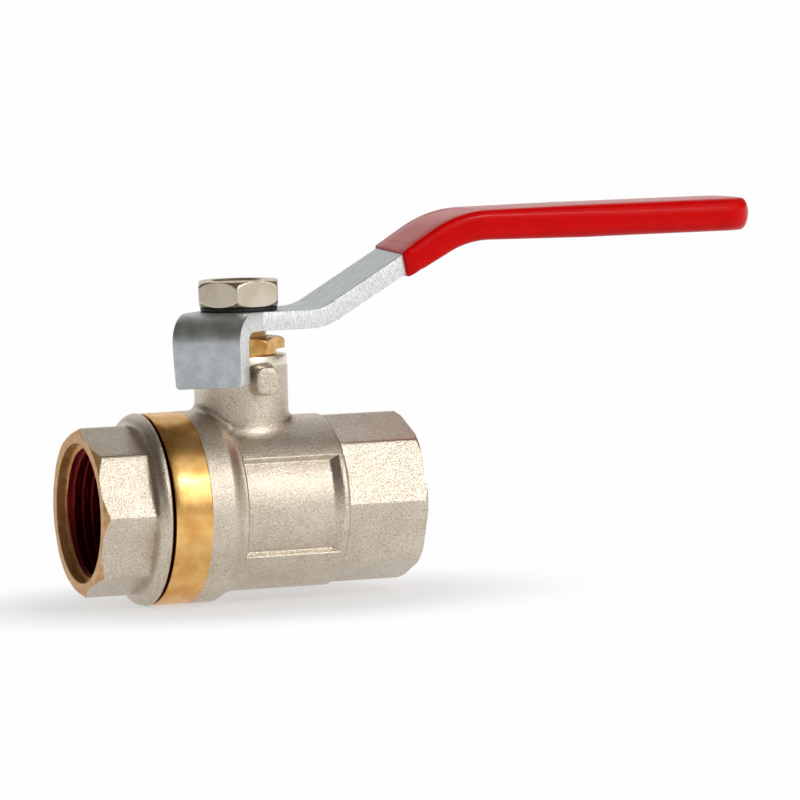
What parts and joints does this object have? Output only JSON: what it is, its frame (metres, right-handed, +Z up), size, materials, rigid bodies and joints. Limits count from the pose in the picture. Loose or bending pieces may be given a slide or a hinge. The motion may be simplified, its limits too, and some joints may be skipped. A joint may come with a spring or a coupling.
{
  "type": "lever ball valve",
  "caption": "Full-bore brass ball valve with female threaded octagonal ends, a stem with packing and gland nut, and a cranked steel lever with a red plastic grip sleeve.",
  "frame": {"origin": "the centre of the ball, where the stem axis crosses the pipe axis", "axes": "+X along the pipe towards the outlet, which is also where the lever points when the valve is open; +Z up the stem"},
  "size_m": [0.1756, 0.0464, 0.0925],
  "materials": {
    "valve_body": "forged, blasted and nickel plated, with a bare turned band",
    "end_cap": "forged, blasted and nickel plated, with a bare turned face",
    "body_seal_ring": "smooth",
    "inlet_seat": "smooth",
    "outlet_seat": "smooth",
    "ball": "polished",
    "stem": "turned",
    "stem_thrust_washer": "smooth",
    "stem_o_ring": "matte",
    "packing_ring_lower": "smooth",
    "packing_ring_upper": "smooth",
    "packing_follower": "turned",
    "gland_nut": "turned",
    "lever": "zinc plated, rough sheared edges",
    "lever_sleeve": "glossy dipped plastic",
    "lever_washer": "satin black",
    "lever_nut": "nickel plated"
  },
  "bodies": {
    "body": {"valve_body": "valve_body", "end_cap": "end_cap", "body_seal_ring": "body_seal_ring", "inlet_seat": "inlet_seat", "outlet_seat": "outlet_seat", "stem_thrust_washer": "stem_thrust_washer", "packing_ring_lower": "packing_ring_lower", "packing_ring_upper": "packing_ring_upper", "packing_follower": "packing_follower", "gland_nut": "gland_nut"},
    "lever_and_stem": {"stem": "stem", "stem_o_ring": "stem_o_ring", "lever": "lever", "lever_sleeve": "lever_sleeve", "lever_washer": "lever_washer", "lever_nut": "lever_nut"},
    "ball": {"ball": "ball"}
  },
  "joints": [
    {"name": "lever_turn", "type": "hinge", "parent": "body", "child": "lever_and_stem", "pos_m": [0, 0, 0], "axis": [0, 0, -1], "range_deg": [0, 90]},
    {"name": "ball_turn", "type": "hinge", "parent": "body", "child": "ball", "pos_m": [0, 0, 0], "axis": [0, 0, -1], "range_deg": [0, 90]}
  ],
  "couplings": [
    {"joint": "ball_turn", "follows": "lever_turn", "ratio": 1}
  ]
}
